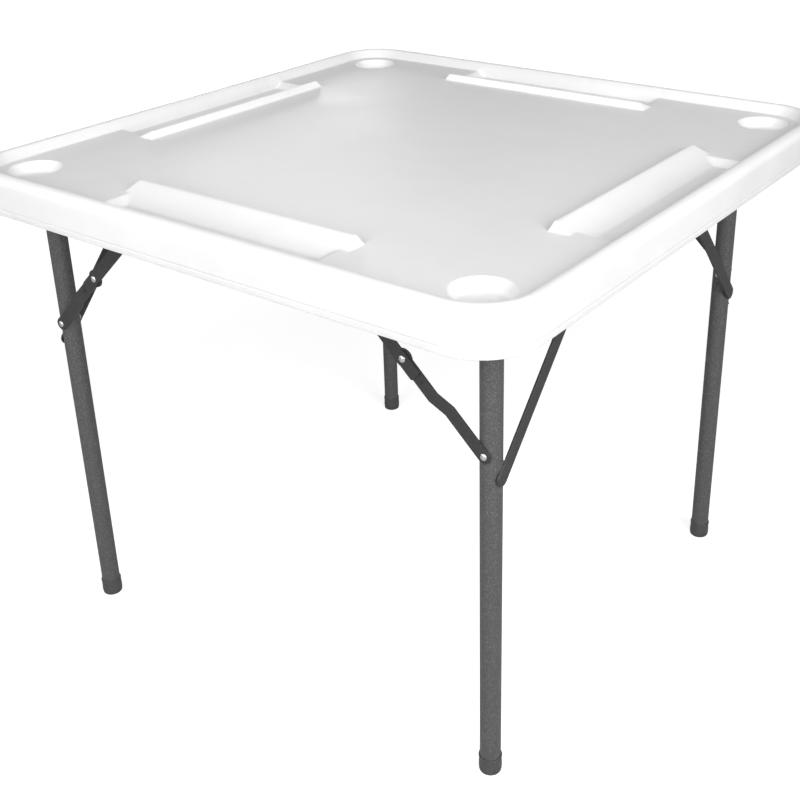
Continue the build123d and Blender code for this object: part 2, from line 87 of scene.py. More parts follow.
def noise(tree, coords, scale, detail=2.0, roughness=0.5):
    node = tree.nodes.new("ShaderNodeTexNoise")
    node.inputs["Scale"].default_value = scale
    node.inputs["Detail"].default_value = detail
    node.inputs["Roughness"].default_value = roughness
    tree.links.new(coords, node.inputs["Vector"])
    return node.outputs["Fac"]


def cells(tree, coords, scale, output="Distance"):
    node = tree.nodes.new("ShaderNodeTexVoronoi")
    node.inputs["Scale"].default_value = scale
    tree.links.new(coords, node.inputs["Vector"])
    return node.outputs[output]


def ramp(tree, value, low, high, start=0.0, end=1.0):
    node = tree.nodes.new("ShaderNodeMapRange")
    node.inputs["From Min"].default_value = start
    node.inputs["From Max"].default_value = end
    node.inputs["To Min"].default_value = low
    node.inputs["To Max"].default_value = high
    tree.links.new(value, node.inputs["Value"])
    return node.outputs["Result"]


def blendColours(tree, factor, first, second):
    node = tree.nodes.new("ShaderNodeMix")
    node.data_type = "RGBA"
    tree.links.new(factor, node.inputs["Factor"])
    for socket, colour in ((node.inputs[6], first), (node.inputs[7], second)):
        if isinstance(colour, tuple):
            socket.default_value = (*colour, 1.0)
        else:
            tree.links.new(colour, socket)
    return node.outputs[2]


def relief(tree, shader, coords, pattern, values, under=None):
    # pattern is noise or cells, and under is the relief that this one lies on
    scale, depth, strength = values
    node = tree.nodes.new("ShaderNodeBump")
    node.inputs["Distance"].default_value = depth
    node.inputs["Strength"].default_value = strength
    tree.links.new(pattern(tree, coords, scale), node.inputs["Height"])
    if under is not None:
        tree.links.new(under, node.inputs["Normal"])
    tree.links.new(node.outputs["Normal"], shader.inputs["Normal"])
    return node.outputs["Normal"]


def mouldedPlastic():
    look = plasticLook
    material, tree, shader, coords = newMaterial("whiteMouldedPlastic")
    clouds = noise(tree, coords, look["cloudScale"], detail=4.0, roughness=0.6)
    flecks = noise(tree, coords, look["fleckScale"])
    # darker clouds in the colour: partly painted reflection of the surroundings, partly random tone
    cloudy = ramp(tree, clouds, low=0.0, high=1.0, start=0.38, end=0.66)
    shade = blendColours(tree, cloudy, look["shade"], look["colour"])
    fleck = ramp(tree, flecks, low=0.0, high=0.35, start=0.3, end=0.75)
    tree.links.new(blendColours(tree, fleck, shade, look["colour"]), shader.inputs["Base Color"])
    gloss = ramp(tree, clouds, *look["gloss"], start=0.3, end=0.7)
    tree.links.new(gloss, shader.inputs["Roughness"])
    shader.inputs["Specular IOR Level"].default_value = look["shine"]
    pebbles = relief(tree, shader, coords, cells, look["pebbles"])
    relief(tree, shader, coords, noise, look["waves"], pebbles)
    return material


def hammertone(name, look):
    material, tree, shader, coords = newMaterial(name)
    flakes = cells(tree, coords, hammertoneScales["flakes"], "Color")
    grey = tree.nodes.new("ShaderNodeRGBToBW")
    tree.links.new(flakes, grey.inputs["Color"])
    speckle = ramp(tree, grey.outputs["Val"], low=0.0, high=1.0, start=0.42, end=0.86)
    clouds = noise(tree, coords, hammertoneScales["patches"], detail=3.0)
    patches = ramp(tree, clouds, low=0.0, high=1.0, start=0.42, end=0.62)
    mixed = tree.nodes.new("ShaderNodeMath")
    mixed.operation = "MULTIPLY"
    tree.links.new(speckle, mixed.inputs[0])
    tree.links.new(patches, mixed.inputs[1])
    colour = blendColours(tree, mixed.outputs[0], *look["flakes"])
    tree.links.new(colour, shader.inputs["Base Color"])
    shader.inputs["Specular IOR Level"].default_value = look["shine"]
    tree.links.new(ramp(tree, grey.outputs["Val"], *look["gloss"]), shader.inputs["Roughness"])
    dimples = relief(tree, shader, coords, cells, look["dimples"])
    relief(tree, shader, coords, noise, look["waves"], dimples)
    return material


def cloudedFinish(name, look, pattern):
    # one colour with soft darker clouds and a fine relief
    material, tree, shader, coords = newMaterial(name)
    clouds = noise(tree, coords, look["cloudScale"], detail=3.0)
    cloudy = ramp(tree, clouds, low=0.0, high=1.0, start=0.35, end=0.7)
    colour = blendColours(tree, cloudy, look["shade"], look["colour"])
    tree.links.new(colour, shader.inputs["Base Color"])
    gloss = ramp(tree, clouds, *look["gloss"], start=0.3, end=0.7)
    tree.links.new(gloss, shader.inputs["Roughness"])
    relief(tree, shader, coords, pattern, look["relief"])
    return material, shader


def zincPlate():
    material, shader = cloudedFinish("brightZinc", zincLook, noise)
    shader.inputs["Metallic"].default_value = 1.0
    return material


def darkPlastic():
    return cloudedFinish("darkCapPlastic", capLook, cells)[0]


whitePlastic, brightZinc, capPlastic = mouldedPlastic(), zincPlate(), darkPlastic()
charcoalPaint = hammertone("charcoalHammertone", tubeLook)
# the strips' darker copy of the hammertone is partly painted shade
stripShadedPaint = hammertone("charcoalStripCoatShaded", stripShadedLook)
print("finishes made")


# the photograph's camera, in pixels, degrees and metres, with its sensor in millimetres
photoCamera = {
    "focal": 1175.12, "centre": (423.84, 296.83), "turn": -37.297, "tilt": 24.008, "roll": -1.286,
    "place": (1.00966, -1.30782, 1.21624), "picture": 800.0, "sensor": 36.0, "sight": 100.0,
}


def addCamera():
    picture = photoCamera["picture"]
    data = bpy.data.cameras.new("photoCamera")
    data.sensor_width = photoCamera["sensor"]
    data.lens = photoCamera["focal"] / picture * data.sensor_width
    data.shift_x = (picture / 2 - photoCamera["centre"][0]) / picture
    data.shift_y = (photoCamera["centre"][1] - picture / 2) / picture
    data.clip_end = photoCamera["sight"]
    camera = bpy.data.objects.new("photoCamera", data)
    bpy.context.scene.collection.objects.link(camera)
    turn, tilt, roll = (radians(photoCamera[key]) for key in ("turn", "tilt", "roll"))
    ahead = Vector((cos(tilt) * sin(turn), cos(tilt) * cos(turn), -sin(tilt)))
    right = ahead.cross(Vector((0, 0, 1))).normalized()
    up = right.cross(ahead)
    across = right * cos(roll) + up * sin(roll)
    upward = up * cos(roll) - right * sin(roll)
    axes = Matrix((across, upward, -ahead)).transposed()
    camera.matrix_world = Matrix.Translation(photoCamera["place"]) @ axes.to_4x4()
    bpy.context.scene.camera = camera


# a plain white studio, in metres
studio = {
    "worldLight": 0.15, "floorSize": 60.0, "floorColour": 0.58,
    # the floor's own glow, near the table and further out
    "nearGlow": 0.70, "farGlow": 1.0, "glowFrom": 1.0, "glowTo": 3.4,
    # name: place, size, power
    "lamps": {
        "keyLamp": ((2.85, -1.1, 1.85), 1.9, 90.0),
        "fillLamp": ((0.1, -3.0, 1.85), 1.9, 65.0),
        "backLamp": ((-2.8, 2.6, 0.7), 1.1, 42.0),
        "topLamp": ((0.8, -0.9, 2.0), 1.2, 3.2),
    },
    "lampAim": (0.0, 0.0, 0.55),
}


def addWorld():
    # white wherever it is seen, in mirrors too, and a weaker light on the table
    world = bpy.data.worlds.new("studioWorld")
    bpy.context.scene.world = world
    world.use_nodes = True
    tree = world.node_tree
    tree.nodes.clear()
    path = tree.nodes.new("ShaderNodeLightPath")
    seen = path.outputs["Is Camera Ray"]
    for ray in ("Is Glossy Ray", "Is Transmission Ray"):
        larger = tree.nodes.new("ShaderNodeMath")
        larger.operation = "MAXIMUM"
        tree.links.new(seen, larger.inputs[0])
        tree.links.new(path.outputs[ray], larger.inputs[1])
        seen = larger.outputs[0]
    choose = tree.nodes.new("ShaderNodeMixShader")
    tree.links.new(seen, choose.inputs["Fac"])
    for strength, socket in ((studio["worldLight"], choose.inputs[1]), (1.0, choose.inputs[2])):
        light = tree.nodes.new("ShaderNodeBackground")
        light.inputs["Color"].default_value = (1, 1, 1, 1)
        light.inputs["Strength"].default_value = strength
        tree.links.new(light.outputs[0], socket)
    output = tree.nodes.new("ShaderNodeOutputWorld")
    tree.links.new(choose.outputs[0], output.inputs["Surface"])


def floorMaterial():
    pale = bpy.data.materials.new("paleFloor")
    pale.use_nodes = True
    tree = pale.node_tree
    tree.nodes.clear()
    path = tree.nodes.new("ShaderNodeLightPath")
    glow = tree.nodes.new("ShaderNodeEmission")
    spot = tree.nodes.new("ShaderNodeTexCoord")
    away = tree.nodes.new("ShaderNodeVectorMath")
    away.operation = "LENGTH"
    tree.links.new(spot.outputs["Object"], away.inputs[0])
    glows = [studio[key] for key in ("nearGlow", "farGlow", "glowFrom", "glowTo")]
    tree.links.new(ramp(tree, away.outputs["Value"], *glows), glow.inputs["Strength"])
    dull = tree.nodes.new("ShaderNodeBsdfDiffuse")
    level = studio["floorColour"]
    dull.inputs["Color"].default_value = (level, level, level, 1)
    both = tree.nodes.new("ShaderNodeAddShader")
    choose = tree.nodes.new("ShaderNodeMixShader")
    tree.links.new(glow.outputs[0], both.inputs[0])
    tree.links.new(dull.outputs[0], both.inputs[1])
    tree.links.new(path.outputs["Is Camera Ray"], choose.inputs["Fac"])
    tree.links.new(dull.outputs[0], choose.inputs[1])
    tree.links.new(both.outputs[0], choose.inputs[2])

    # seen from below the floor is clear, so that the underside of the table shows
    side = tree.nodes.new("ShaderNodeNewGeometry")
    clear = tree.nodes.new("ShaderNodeBsdfTransparent")
    faced = tree.nodes.new("ShaderNodeMixShader")
    output = tree.nodes.new("ShaderNodeOutputMaterial")
    tree.links.new(side.outputs["Backfacing"], faced.inputs["Fac"])
    tree.links.new(choose.outputs[0], faced.inputs[1])
    tree.links.new(clear.outputs[0], faced.inputs[2])
    tree.links.new(faced.outputs[0], output.inputs["Surface"])
    return pale


def addFloor():
    # a pale floor that reads as white and keeps a faint shadow
    half = studio["floorSize"] / 2
    mesh = bpy.data.meshes.new("studioFloor")
    square = [(-half, -half, 0), (half, -half, 0), (half, half, 0), (-half, half, 0)]
    mesh.from_pydata(square, [], [(0, 1, 2, 3)])
    mesh.materials.append(floorMaterial())
    floor = bpy.data.objects.new("studioFloor", mesh)
    bpy.context.scene.collection.objects.link(floor)


def addLamps():
    for name, (place, size, power) in studio["lamps"].items():
        data = bpy.data.lights.new(name, "AREA")
        data.shape = "SQUARE"
        data.size = size
        data.energy = power
        lamp = bpy.data.objects.new(name, data)
        bpy.context.scene.collection.objects.link(lamp)
        lamp.location = place
        aim = Vector(studio["lampAim"]) - Vector(place)
        lamp.rotation_euler = aim.to_track_quat("-Z", "Y").to_euler()


bpy.context.scene.view_settings.view_transform = "Standard"
addCamera()
addWorld()
addFloor()
addLamps()
print("camera and light placed")


# placing a piece, and turning lines of points into meshes
def placePiece(name, mesh, material, body, replaced=()):
    mesh.name = name
    mesh.materials.clear()
    mesh.materials.append(material)
    piece = bpy.data.objects.new(name, mesh)
    bpy.context.scene.collection.objects.link(piece)
    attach(piece, body)
    if replaced:
        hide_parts(*replaced)


def meshFrom(bm, name):
    mesh = bpy.data.meshes.new(name)
    bm.to_mesh(mesh)
    bm.free()
    mesh.polygons.foreach_set("use_smooth", [True] * len(mesh.polygons))
    return mesh


def roundedLine(points, steps=6):
    # each point is (inset, height, radius); a corner with a radius becomes an arc
    line = []
    for index, (inset, height, radius) in enumerate(points):
        here = Vector((inset, height))
        if not radius:
            line.append(here)
            continue
        before = (Vector(points[index - 1][:2]) - here).normalized()
        after = (Vector(points[index + 1][:2]) - here).normalized()
        half = before.angle(after) / 2
        centre = here + (before + after).normalized() * radius / sin(half)
        first = here + before * radius / tan(half) - centre
        last = here + after * radius / tan(half) - centre
        sweep = pi - 2 * half
        for step in range(steps + 1):
            share = step / steps
            arm = first * sin((1 - share) * sweep) + last * sin(share * sweep)
            line.append(centre + arm / sin(sweep))
    return line


# the moulded top, its racks, cup wells and moulded ties, in millimetres; names that end in Soft are radii
topShape = {
    "side": 914.0, "cornerRadius": 82.0, "height": 737.0, "surface": 723.0, "under": 703.0,
    "skirtFoot": 675.0, "skirtLean": 6.0, "skirtWidth": 34.0, "shoulder": 723.0,
    "crestInset": 16.0, "footInset": 28.0, "deckInset": 32.0,
    # the parting line, from its lower edge up, and the lip under it
    "seamHeight": 9.5, "seamWidth": 4.2, "seamFoot": 1.2, "seamDepth": 1.0, "lipBack": 0.6, "lipLean": 1.6,
    "innerSoft": 2.5, "lipSoft": 3.0, "seamSoft": 0.6, "aboveSeamSoft": 1.5, "shoulderSoft": 30.0,
    "crestSoft": 12.0, "innerCrestSoft": 7.0, "wallFootSoft": 4.0, "arcSteps": 6,
    "cornerSteps": 16, "blockStart": 336.0,        # the flat corner blocks with the cup wells start here
    "endShares": (0.33, 0.66, 1.0),        # mesh lines between a corner block and the rounded corner
}
rackShape = {
    "troughInset": 64.0, "crestInset": 104.0, "crestEnd": 108.0, "backFoot": 112.0,
    "depth": 9.0, "ridge": 11.0, "troughHalf": 180.0, "troughBase": 166.0, "ridgeHalf": 185.0,
    "ridgeBase": 193.0, "troughFootSoft": 2.5,
    "soft": 1.1,        # height over which two slopes blend
    # shifts of the mesh lines from the crease, slope, crest and ends that they follow
    "creaseLines": (-5.0, -3.0, -1.4, 0.0, 1.4, 3.0, 6.0, 10.0),
    "slopeLines": (-4.0, -2.4, -1.0, 0.6, 2.4, 6.0, 10.0),
    "crestLines": (-7.0, -4.0, -2.2, -1.0, 0.0, 1.2, 2.6, 3.6, 4.4, 5.4, 6.4, 7.2, 8.0, 9.0, 10.4, 12.0),
    "troughEndLines": (-9.0, -5.0, -2.5, -1.0, 0.0, 1.2, 3.0, 7.0, 11.0, 12.8, 14.0, 15.2, 16.6, 18.0),
    "ridgeEndLines": (0.0, 1.2, 3.0, 5.0, 6.8, 8.0, 9.4, 12.0, 18.0),
    # plain mesh lines: insets in the trough, and steps along the rack's middle and beyond its ends
    "floorLines": (38.0, 46.0, 54.0), "middleEnd": 150.0, "middleStep": 12.5, "endStep": 14.0, "endGap": 18.0,
}
cupShape = {
    "place": 378.0, "mouth": 37.0, "floor": 32.0, "depth": 16.0, "lip": 3.4, "mouthSoft": 2.8,
    "floorSoft": 6.0, "middleShare": 0.45, "steps": 56,
}
tieShape = {
    "pitch": 87.0, "count": 8, "mouth": 10.0, "tip": 4.5, "depth": 17.0, "lip": 3.0, "mouthSoft": 1.2,
    "tipSoft": 1.6, "middle": 1.0, "arcSteps": 3, "steps": 16,
}


def softMin(first, second, soft):
    spread = max(soft - abs(first - second), 0.0) / soft
    return min(first, second) - spread * spread * soft / 4


def softMax(first, second, soft):
    return -softMin(-first, -second, soft)


def rackHeight(inset, along):
    # height over the playing surface near one side of the top
    rack, along = rackShape, abs(along)
    soft = rack["soft"]
    rise = (rack["ridge"] + rack["depth"]) / (rack["crestInset"] - rack["troughInset"])
    slope = rise * (inset - rack["troughInset"]) - rack["depth"]
    back = rack["ridge"] * (rack["backFoot"] - inset) / (rack["backFoot"] - rack["crestEnd"])
    end = rack["ridge"] * (rack["ridgeBase"] - along) / (rack["ridgeBase"] - rack["ridgeHalf"])
    ridge = softMin(softMin(softMin(slope, rack["ridge"], soft), back, soft * 2), end, soft * 2)
    ridge = softMax(ridge, 0.0, soft)
    lip = rack["depth"] * (along - rack["troughHalf"]) / (rack["troughHalf"] - rack["troughBase"])
    trough = softMax(softMax(slope, -rack["depth"], soft), lip, soft)
    trough = softMin(trough, 0.0, soft)
    return ridge + trough


def topRelief(x, y):
    half = topShape["side"] / 2
    alongY = rackHeight(half - abs(y), x)
    alongX = rackHeight(half - abs(x), y)
    return alongY if abs(alongY) > abs(alongX) else alongX


def spacedLines():
    # lines along a side, close together at the ends of the racks
    rack, steps = rackShape, [0.0]
    while steps[-1] < rack["middleEnd"]:
        steps.append(steps[-1] + rack["middleStep"])
    steps += [rack["troughBase"] + shift for shift in rack["troughEndLines"]]
    steps += [rack["ridgeHalf"] + shift for shift in rack["ridgeEndLines"]]
    while steps[-1] < topShape["blockStart"] - rack["endGap"]:
        steps.append(steps[-1] + rack["endStep"])
    steps.append(topShape["blockStart"])
    return sorted({round(sign * step, 4) for step in steps for sign in (-1, 1)})


def insetLines():
    crease, crest = rackShape["troughInset"], rackShape["crestInset"]
    lines = [topShape["deckInset"], *rackShape["floorLines"]]
    lines += [crease + shift for shift in rackShape["creaseLines"]]
    lines += [(crease + crest) / 2 + shift for shift in rackShape["slopeLines"]]
    lines += [crest + shift for shift in rackShape["crestLines"]]
    return lines + [topShape["side"] / 2 - topShape["blockStart"]]


def sweptStations(straight):
    # places round the rounded square, counter-clockwise from above
    sides = [((0, -1), (1, 0)), ((1, 0), (0, 1)), ((0, 1), (-1, 0)), ((-1, 0), (0, -1))]
    straightEnd = topShape["side"] / 2 - topShape["cornerRadius"]
    reach, cornerSteps = topShape["blockStart"], topShape["cornerSteps"]
    extra = [reach + (straightEnd - reach) * share for share in topShape["endShares"]]
    along = sorted(straight + extra + [-step for step in extra])
    stations = []
    for normal, tangent in sides:
        stations += [(Vector(normal), Vector(tangent), step, None) for step in along]
        for count in range(1, cornerSteps):
            stations.append((Vector(normal), Vector(tangent), None, pi / 2 * count / cornerSteps))
    return stations


def stationPoint(station, inset):
    normal, tangent, step, angle = station
    half, radius = topShape["side"] / 2, topShape["cornerRadius"]
    if angle is None:
        return normal * (half - inset) + tangent * step
    centre = (normal + tangent) * (half - radius)
    return centre + (normal * cos(angle) + tangent * sin(angle)) * (radius - inset)


def rimLine():
    # from the underside down the skirt's inside, up its outside, over the crest and down to the deck
    shape = topShape
    lean = shape["skirtLean"] / (shape["shoulder"] - shape["skirtFoot"])
    seamLow = shape["skirtFoot"] + shape["seamHeight"]
    seamFoot, seamHigh = seamLow + shape["seamFoot"], seamLow + shape["seamWidth"]

    def outside(height):
        return lean * (shape["shoulder"] - height)

    return roundedLine([
        (shape["skirtWidth"], shape["under"], 0),
        (shape["skirtWidth"], shape["skirtFoot"], shape["innerSoft"]),
        (outside(shape["skirtFoot"]) + shape["lipLean"], shape["skirtFoot"], shape["lipSoft"]),
        (outside(seamLow) + shape["lipBack"], seamLow, shape["seamSoft"]),
        (outside(seamFoot) + shape["seamDepth"], seamFoot, shape["seamSoft"]),
        (outside(seamHigh), seamHigh, shape["aboveSeamSoft"]),
        (0.0, shape["shoulder"], shape["shoulderSoft"]),
        (0.0, shape["height"], shape["crestSoft"]),
        (shape["crestInset"], shape["height"], shape["innerCrestSoft"]),
        (shape["footInset"], shape["surface"], shape["wallFootSoft"]),
        (shape["deckInset"], shape["surface"], 0),
    ], shape["arcSteps"])


def troughLine(start):
    # the foot of the rim's inner wall where a trough runs along it, without the start itself
    shape, low = topShape, topShape["surface"] - rackShape["depth"]
    corner = [
        (start[0], start[1], 0), (shape["footInset"], low, rackShape["troughFootSoft"]),
        (shape["deckInset"], low, 0),
    ]
    return roundedLine(corner, shape["arcSteps"] - 1)[1:]        # as many points as the rim has after it


def ringMesh(bm, rings):
    for lower, upper in zip(rings, rings[1:]):
        for index in range(len(lower)):
            after = (index + 1) % len(lower)
            bm.faces.new((lower[index], lower[after], upper[after], upper[index]))


def turnedRings(bm, line, steps, shift=0.0, centre=(0.0, 0.0), level=0.0, unit=1.0):
    # a wall turned about an upright axis, from (radius, height) points
    turn = [2 * pi * (count + shift) / steps for count in range(steps)]
    rings = []
    for radius, height in line:
        spots = [(centre[0] + radius * cos(a) * unit, centre[1] + radius * sin(a) * unit) for a in turn]
        rings.append([bm.verts.new((x, y, level + height * unit)) for x, y in spots])
    ringMesh(bm, rings)
    return rings


def cupRings(bm, centre):
    # the well: lip, leaning wall and floor
    cup = cupShape
    line = roundedLine([
        (cup["mouth"] + cup["lip"], 0, 0), (cup["mouth"], 0, cup["mouthSoft"]),
        (cup["floor"], -cup["depth"], cup["floorSoft"]),
        (cup["floor"] * cup["middleShare"], -cup["depth"], 0),
    ])
    rings = turnedRings(bm, line, cup["steps"], centre=centre, level=topShape["surface"])
    bm.faces.new(rings[-1])
    return rings[0]


def fillBetween(bm, outer, inner, centre):
    # flat triangles between two loops that both run round the centre
    def turned(loop):
        pairs = [(atan2(v.co.y - centre[1], v.co.x - centre[0]), v) for v in loop]
        return sorted(pairs, key=lambda pair: pair[0])

    rims = [turned(outer), turned(inner)]
    counts = [0, 0]
    while counts[0] < len(rims[0]) or counts[1] < len(rims[1]):
        ahead = []
        for rim, count in zip(rims, counts):
            angle = rim[(count + 1) % len(rim)][0] + (2 * pi if count + 1 >= len(rim) else 0)
            ahead.append(angle if count < len(rim) else inf)
        side = 0 if ahead[0] <= ahead[1] else 1
        here = [rim[count % len(rim)][1] for rim, count in zip(rims, counts)]
        after = rims[side][(counts[side] + 1) % len(rims[side])][1]
        bm.faces.new((here[0], after, here[1]))
        counts[side] += 1


def tieCell():
    # one square of the underside with its moulded tie in the middle
    tie, bm = tieShape, bmesh.new()
    half, level = tie["pitch"] / 2, topShape["under"]
    square = [bm.verts.new((x * half, y * half, level)) for x, y in ((-1, -1), (1, -1), (1, 1), (-1, 1))]
    line = roundedLine([
        (tie["mouth"] + tie["lip"], 0, 0), (tie["mouth"], 0, tie["mouthSoft"]),
        (tie["tip"], tie["depth"], tie["tipSoft"]), (tie["middle"], tie["depth"], 0),
    ], tie["arcSteps"])
    rings = turnedRings(bm, line, tie["steps"], shift=0.5, level=level)
    bm.faces.new(rings[-1])
    fillBetween(bm, square, rings[0], (0, 0))
    bmesh.ops.scale(bm, vec=(mm, mm, mm), verts=bm.verts)
    return bpy.data.objects.new("tieCell", meshFrom(bm, "tieCell"))


def socketInput(tree, name, kind, default=None):
    socket = tree.interface.new_socket(name=name, in_out="INPUT", socket_type=kind)
    if default is not None:
        socket.default_value = default


def newNodeTree(name):
    tree = bpy.data.node_groups.new(name, "GeometryNodeTree")
    tree.is_modifier = True
    tree.interface.new_socket(name="Geometry", in_out="INPUT", socket_type="NodeSocketGeometry")
    tree.interface.new_socket(name="Geometry", in_out="OUTPUT", socket_type="NodeSocketGeometry")
    return tree


def endTree(tree, geometry, material, weld=None):
    realize = tree.nodes.new("GeometryNodeRealizeInstances")
    tree.links.new(geometry, realize.inputs["Geometry"])
    last = realize.outputs["Geometry"]
    if weld is not None:
        merge = tree.nodes.new("GeometryNodeMergeByDistance")
        merge.inputs["Distance"].default_value = weld
        tree.links.new(last, merge.inputs["Geometry"])
        last = merge.outputs["Geometry"]
    paint = tree.nodes.new("GeometryNodeSetMaterial")
    paint.inputs["Material"].default_value = material
    tree.links.new(last, paint.inputs["Geometry"])
    output = tree.nodes.new("NodeGroupOutput")
    tree.links.new(paint.outputs["Geometry"], output.inputs["Geometry"])


def runTree(tree, start, values):
    # runs the tree on a plain object and hands back an ordinary mesh
    carrier = bpy.data.objects.new("carrier", start)
    bpy.context.scene.collection.objects.link(carrier)
    modifier = carrier.modifiers.new("nodes", "NODES")
    modifier.node_group = tree
    for item in tree.interface.items_tree:
        if item.item_type == "SOCKET" and item.in_out == "INPUT" and item.name in values:
            modifier[item.identifier] = values[item.name]
    graph = bpy.context.evaluated_depsgraph_get()
    result = bpy.data.meshes.new_from_object(carrier.evaluated_get(graph), depsgraph=graph)
    carrier.modifiers.remove(modifier)
    bpy.data.objects.remove(carrier)
    return result


def tieTree():
    tree = newNodeTree("undersideTies")
    socketInput(tree, "Cell", "NodeSocketObject")
    socketInput(tree, "Pitch", "NodeSocketFloat", tieShape["pitch"] * mm)
    socketInput(tree, "Count", "NodeSocketInt", tieShape["count"])
    given = tree.nodes.new("NodeGroupInput")
    grid = tree.nodes.new("GeometryNodeMeshGrid")
    gaps = tree.nodes.new("ShaderNodeMath")
    gaps.operation = "SUBTRACT"
    gaps.inputs[1].default_value = 1.0
    span = tree.nodes.new("ShaderNodeMath")
    span.operation = "MULTIPLY"
    tree.links.new(given.outputs["Count"], gaps.inputs[0])
    tree.links.new(gaps.outputs[0], span.inputs[0])
    tree.links.new(given.outputs["Pitch"], span.inputs[1])
    for size, count in (("Size X", "Vertices X"), ("Size Y", "Vertices Y")):
        tree.links.new(span.outputs[0], grid.inputs[size])
        tree.links.new(given.outputs["Count"], grid.inputs[count])
    cell = tree.nodes.new("GeometryNodeObjectInfo")
    tree.links.new(given.outputs["Cell"], cell.inputs["Object"])
    spread = tree.nodes.new("GeometryNodeInstanceOnPoints")
    tree.links.new(grid.outputs["Mesh"], spread.inputs["Points"])
    tree.links.new(cell.outputs["Geometry"], spread.inputs["Instance"])
    endTree(tree, spread.outputs["Instances"], whitePlastic, samePoint)
    return tree


def tieField():
    # all the moulded ties as one mesh, in metres
    cell = tieCell()
    values = {"Cell": cell, "Pitch": tieShape["pitch"] * mm, "Count": tieShape["count"]}
    ties = runTree(tieTree(), bpy.data.meshes.new("ties"), values)
    bpy.data.objects.remove(cell)
    return ties


def addRim(bm, straight):
    # skirt and rim, swept round the top; the foot of the inner wall drops where a trough runs
    line = rimLine()
    footStart = len(line) - topShape["arcSteps"] - 2        # the first point of the foot's arc
    low = troughLine(line[footStart])
    stations = sweptStations(straight)
    rings = []
    for place, (inset, height) in enumerate(line):
        ring = []
        for station in stations:
            deep = 0.0
            if place > footStart and station[3] is None:
                deep = -rackHeight(topShape["deckInset"], station[2]) / rackShape["depth"]
            point = Vector((inset, height))
            if deep > 0:
                point = point.lerp(low[place - footStart - 1], min(deep, 1.0))
            flat = stationPoint(station, point[0])
            ring.append(bm.verts.new((flat[0], flat[1], point[1])))
        rings.append(ring)
    ringMesh(bm, rings)
    return rings[0], rings[-1]


def addDeck(bm, straight, rim):
    # mesh lines in both directions, joined to the rim's last ring
    known = {(round(v.co.x, 3), round(v.co.y, 3)): v for v in rim}

    def deckPoint(x, y):
        key = (round(x, 3), round(y, 3))
        if key not in known:
            known[key] = bm.verts.new((x, y, topShape["surface"] + topRelief(x, y)))
        return known[key]

    half, block = topShape["side"] / 2, topShape["blockStart"]
    outer = [half - inset for inset in insetLines()]
    lines = sorted({round(sign * value, 4) for value in outer for sign in (-1, 1)} | set(straight))
    for left, right in zip(lines, lines[1:]):
        for lower, upper in zip(lines, lines[1:]):
            inCorner = max(abs(left), abs(right)) > block and max(abs(lower), abs(upper)) > block
            if not inCorner:
                square = [(left, lower), (right, lower), (right, upper), (left, upper)]
                bm.faces.new([deckPoint(x, y) for x, y in square])

    # corner blocks, flat round the cup wells
    ledge = [value for value in lines if value >= block]
    past = block + 0.01        # leaves out the ring's two points on the block's own lines
    for signX, signY in ((1, 1), (-1, 1), (-1, -1), (1, -1)):
        edge = [deckPoint(signX * block, signY * value) for value in ledge]
        edge += [deckPoint(signX * value, signY * block) for value in ledge[1:]]
        edge += [v for v in rim if v.co.x * signX > past and v.co.y * signY > past]
        middle = (signX * cupShape["place"], signY * cupShape["place"])
        fillBetween(bm, edge, cupRings(bm, middle), middle)


def addBorder(bm, skirtEdge):
    # the plain strip of the underside between the moulded ties and the skirt
    pitch, count = tieShape["pitch"], tieShape["count"]
    reach = pitch * count / 2
    marks = [-reach + pitch * step for step in range(count + 1)]
    border = [(value, -reach) for value in marks] + [(reach, value) for value in marks[1:]]
    border += [(value, reach) for value in reversed(marks[:-1])]
    border += [(-reach, value) for value in reversed(marks[1:-1])]
    loop = [bm.verts.new((x, y, topShape["under"])) for x, y in border]
    fillBetween(bm, skirtEdge, loop, (0, 0))


def buildTabletop():
    bm, straight = bmesh.new(), spacedLines()
    skirtEdge, deckEdge = addRim(bm, straight)
    addDeck(bm, straight, deckEdge)
    addBorder(bm, skirtEdge)
    bmesh.ops.scale(bm, vec=(mm, mm, mm), verts=bm.verts)
    bm.from_mesh(tieField())
    bmesh.ops.remove_doubles(bm, verts=bm.verts, dist=samePoint)
    bmesh.ops.recalc_face_normals(bm, faces=bm.faces)
    openEdges = sum(1 for e in bm.edges if len(e.link_faces) != 2)
    print("tabletop", len(bm.faces), "faces, open edges", openEdges)
    mesh = meshFrom(bm, "tabletop")
    placePiece("moulded_tabletop", mesh, whitePlastic, "tabletop_body", ["tabletop"])


buildTabletop()


# tubes, crossbars, plugs and the leg rivets keep their packed form; the longer beginnings stand first
keptForms = {
    "leg_rivets": brightZinc, "crossbar_plugs": capPlastic, "leg_": charcoalPaint, "crossbar_": charcoalPaint,
}
for name in nodes:
    for beginning, material in keptForms.items():
        if name.startswith(beginning):
            nodes[name].material_slots[0].material = material
            break
print("tubes painted")


# pressed steel strips and brackets, in millimetres and degrees
stripShape = {
    "edge": 0.45, "segments": 2, "merge": 0.005, "sliver": 0.002, "flat": 0.6, "sharp": 30.0, "crisp": 50.0,
}


